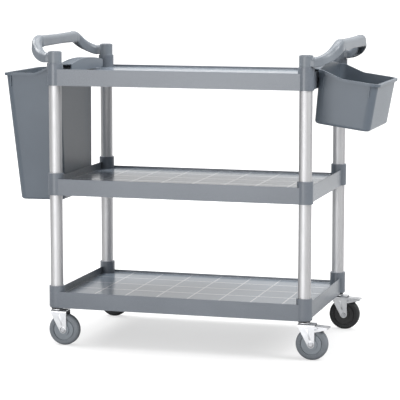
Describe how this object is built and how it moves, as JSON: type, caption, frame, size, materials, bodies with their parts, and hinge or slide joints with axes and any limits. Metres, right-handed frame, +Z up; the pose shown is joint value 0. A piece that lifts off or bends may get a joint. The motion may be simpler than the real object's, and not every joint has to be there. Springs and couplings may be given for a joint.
{
  "type": "serving trolley",
  "caption": "Shelf cart for catering with tube posts, push handles at both ends, hook-on bins and swivel casters, some with foot brakes.",
  "frame": {"origin": "on the floor under the middle of the four posts", "axes": "+X along the trolley towards the small bin, +Y to the back, +Z up"},
  "size_m": [1.217, 0.54, 0.9718],
  "materials": {
    "shelf_plastic": "moulded grey plastic",
    "handle_plastic": "moulded grey plastic",
    "bin_plastic": "moulded grey plastic",
    "post_aluminium": "bright drawn tube",
    "fork_steel": "zinc plated",
    "bolt_steel": "zinc plated",
    "seal_rubber": "black rubber",
    "front_tyre_rubber": "grey rubber",
    "back_tyre_rubber": "black rubber",
    "front_hub_plastic": "moulded grey plastic",
    "back_hub_plastic": "moulded black plastic"
  },
  "bodies": {
    "frame": {"bottom_shelf": "shelf_plastic", "middle_shelf": "shelf_plastic", "top_shelf": "shelf_plastic", "left_handle": "handle_plastic", "right_handle": "handle_plastic", "stem_nuts": "bolt_steel", "lower_post_front_left": "post_aluminium", "upper_post_front_left": "post_aluminium", "lower_post_front_right": "post_aluminium", "upper_post_front_right": "post_aluminium", "lower_post_back_left": "post_aluminium", "upper_post_back_left": "post_aluminium", "lower_post_back_right": "post_aluminium", "upper_post_back_right": "post_aluminium", "caster_stem_front_left": "bolt_steel", "caster_seal_front_left": "seal_rubber", "caster_stem_front_right": "bolt_steel", "caster_seal_front_right": "seal_rubber", "caster_stem_back_left": "bolt_steel", "caster_seal_back_left": "seal_rubber", "caster_stem_back_right": "bolt_steel", "caster_seal_back_right": "seal_rubber"},
    "caster_front_left": {"caster_fork_front_left": "fork_steel", "axle_bolt_front_left": "bolt_steel", "wheel_bush_front_left": "bolt_steel"},
    "wheel_front_left": {"wheel_hub_front_left": "front_hub_plastic", "wheel_tyre_front_left": "front_tyre_rubber"},
    "caster_front_right": {"caster_fork_front_right": "fork_steel", "axle_bolt_front_right": "bolt_steel", "wheel_bush_front_right": "bolt_steel", "brake_rivets_front_right": "bolt_steel"},
    "wheel_front_right": {"wheel_hub_front_right": "front_hub_plastic", "wheel_tyre_front_right": "front_tyre_rubber"},
    "brake_front_right": {"brake_pedal_front_right": "fork_steel", "brake_shoe_front_right": "seal_rubber"},
    "caster_back_left": {"caster_fork_back_left": "fork_steel", "axle_bolt_back_left": "bolt_steel", "wheel_bush_back_left": "bolt_steel"},
    "wheel_back_left": {"wheel_hub_back_left": "back_hub_plastic", "wheel_tyre_back_left": "back_tyre_rubber"},
    "caster_back_right": {"caster_fork_back_right": "fork_steel", "axle_bolt_back_right": "bolt_steel", "wheel_bush_back_right": "bolt_steel", "brake_rivets_back_right": "bolt_steel"},
    "wheel_back_right": {"wheel_hub_back_right": "back_hub_plastic", "wheel_tyre_back_right": "back_tyre_rubber"},
    "brake_back_right": {"brake_pedal_back_right": "fork_steel", "brake_shoe_back_right": "seal_rubber"},
    "bin_large": {"large_bin": "bin_plastic"},
    "bin_small": {"small_bin": "bin_plastic"}
  },
  "joints": [
    {"name": "caster_front_left_swivel", "type": "hinge", "parent": "frame", "child": "caster_front_left", "pos_m": [-0.4, -0.245, 0.112], "axis": [0, 0, 1], "continuous": true},
    {"name": "wheel_front_left_spin", "type": "hinge", "parent": "caster_front_left", "child": "wheel_front_left", "pos_m": [-0.375, -0.245, 0.05], "axis": [0, 1, 0], "continuous": true},
    {"name": "caster_front_right_swivel", "type": "hinge", "parent": "frame", "child": "caster_front_right", "pos_m": [0.4, -0.245, 0.112], "axis": [0, 0, 1], "continuous": true},
    {"name": "wheel_front_right_spin", "type": "hinge", "parent": "caster_front_right", "child": "wheel_front_right", "pos_m": [0.425, -0.245, 0.05], "axis": [0, 1, 0], "continuous": true},
    {"name": "brake_front_right_press", "type": "hinge", "parent": "caster_front_right", "child": "brake_front_right", "pos_m": [0.439, -0.245, 0.097], "axis": [0, 1, 0], "range_deg": [0, 11]},
    {"name": "caster_back_left_swivel", "type": "hinge", "parent": "frame", "child": "caster_back_left", "pos_m": [-0.4, 0.245, 0.112], "axis": [0, 0, 1], "continuous": true},
    {"name": "wheel_back_left_spin", "type": "hinge", "parent": "caster_back_left", "child": "wheel_back_left", "pos_m": [-0.375, 0.245, 0.05], "axis": [0, 1, 0], "continuous": true},
    {"name": "caster_back_right_swivel", "type": "hinge", "parent": "frame", "child": "caster_back_right", "pos_m": [0.4, 0.245, 0.112], "axis": [0, 0, 1], "continuous": true},
    {"name": "wheel_back_right_spin", "type": "hinge", "parent": "caster_back_right", "child": "wheel_back_right", "pos_m": [0.425, 0.245, 0.05], "axis": [0, 1, 0], "continuous": true},
    {"name": "brake_back_right_press", "type": "hinge", "parent": "caster_back_right", "child": "brake_back_right", "pos_m": [0.439, 0.245, 0.097], "axis": [0, 1, 0], "range_deg": [0, 11]},
    {"name": "large_bin_lift", "type": "slide", "parent": "frame", "child": "bin_large", "axis": [-0.0127, 0, 0.9999], "range_m": [0, 0.03]},
    {"name": "small_bin_lift", "type": "slide", "parent": "frame", "child": "bin_small", "axis": [0.1417, 0, 0.9899], "range_m": [0, 0.03]}
  ]
}
